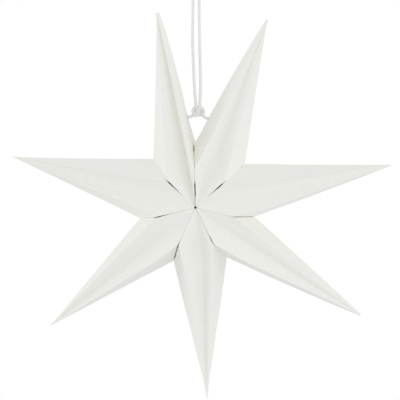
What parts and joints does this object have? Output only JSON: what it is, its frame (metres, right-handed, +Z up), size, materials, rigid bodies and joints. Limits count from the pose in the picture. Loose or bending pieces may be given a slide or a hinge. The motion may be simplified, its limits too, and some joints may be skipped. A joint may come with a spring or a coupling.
{
  "type": "paper advent star",
  "caption": "Hanging star of hollow folded paper points round a sunken centre, with a knotted cord that ties its open seam and forms the hanging loop.",
  "frame": {"origin": "inside top of the cord loop that the star hangs from", "axes": "+X to the right and +Z up as the star hangs, with its front facing -Y"},
  "size_m": [0.2922, 0.078, 0.326],
  "materials": {
    "paper": "matte uncoated white paper, softly creased",
    "cord": "twisted off-white cotton cord"
  },
  "bodies": {
    "root": {"point_upper_left": "paper", "point_left": "paper", "point_lower_left": "paper", "point_bottom": "paper", "point_lower_right": "paper", "point_right": "paper", "point_upper_right": "paper", "hanging_cord": "cord", "tie_knot": "cord", "stop_knot_left": "cord", "stop_knot_right": "cord"}
  },
  "joints": []
}
